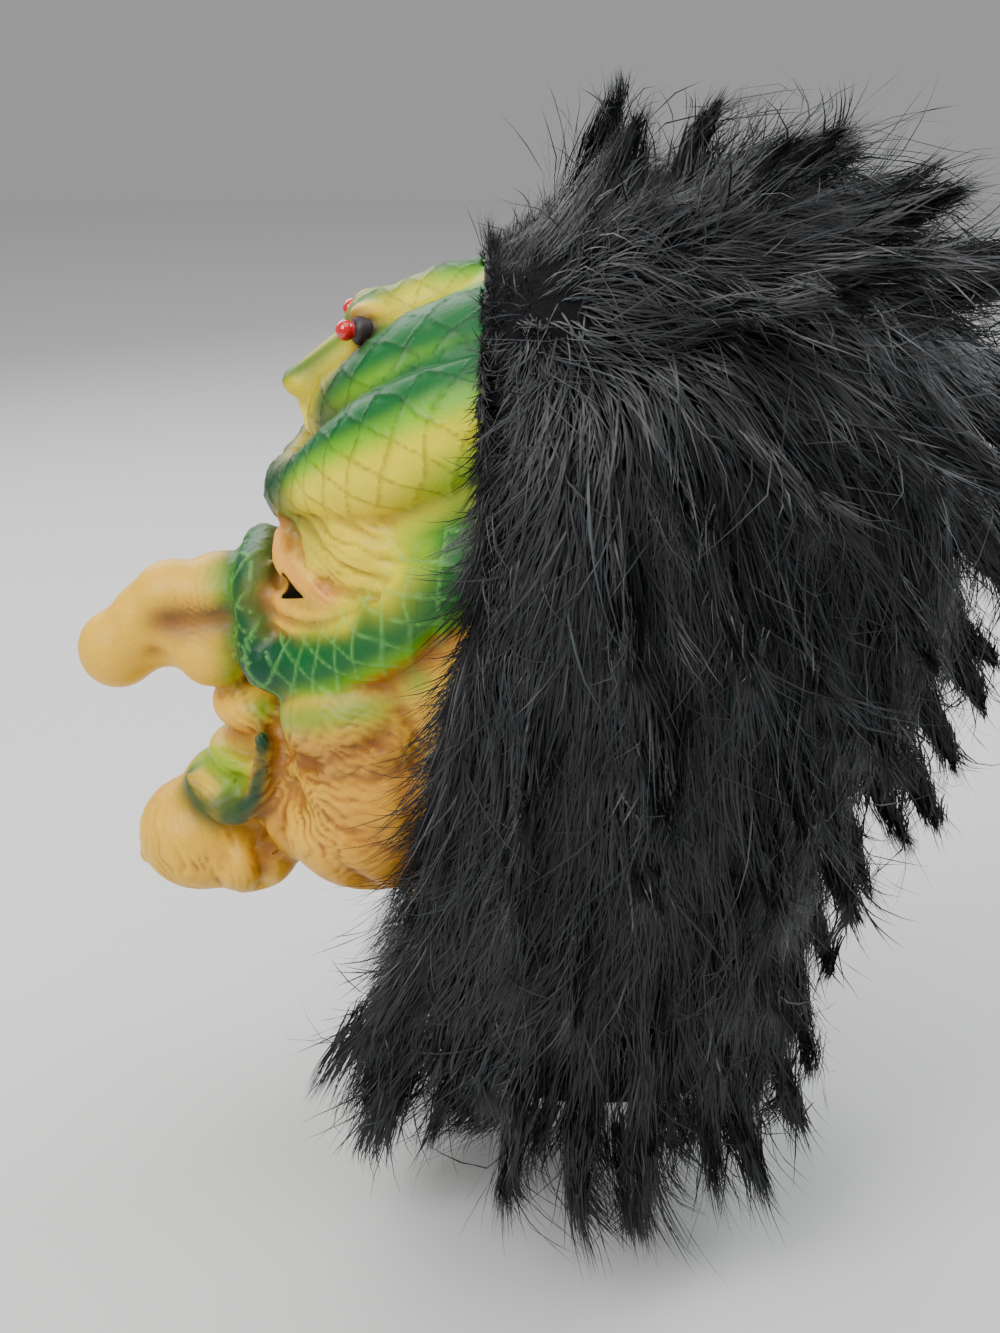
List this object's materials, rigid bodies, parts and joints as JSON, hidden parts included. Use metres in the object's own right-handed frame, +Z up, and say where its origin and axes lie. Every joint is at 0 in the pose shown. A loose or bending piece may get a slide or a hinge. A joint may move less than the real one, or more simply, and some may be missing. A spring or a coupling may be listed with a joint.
{
  "type": "over-the-head witch mask with fur hair",
  "caption": "Hollow latex witch face wrapped in the coils of a snake with red bulb eyes, joined to an over-the-head hood of long black fur.",
  "frame": {"origin": "crown seat: the top of the hood's hollow on the middle plane, where the wearer's crown holds the mask up", "axes": "+X to the wearer's left, +Y to the back of the head, +Z up"},
  "size_m": [0.2774, 0.4243, 0.4712],
  "materials": {
    "painted_latex": "satin",
    "hood_cloth": "matte",
    "black_fur": "satin",
    "red_bulb": "gloss"
  },
  "bodies": {
    "root": {"face_shell": "painted_latex", "hood_backing": "hood_cloth", "fur_pile": "black_fur", "snake_eye_left": "red_bulb", "snake_eye_right": "red_bulb"}
  },
  "joints": []
}
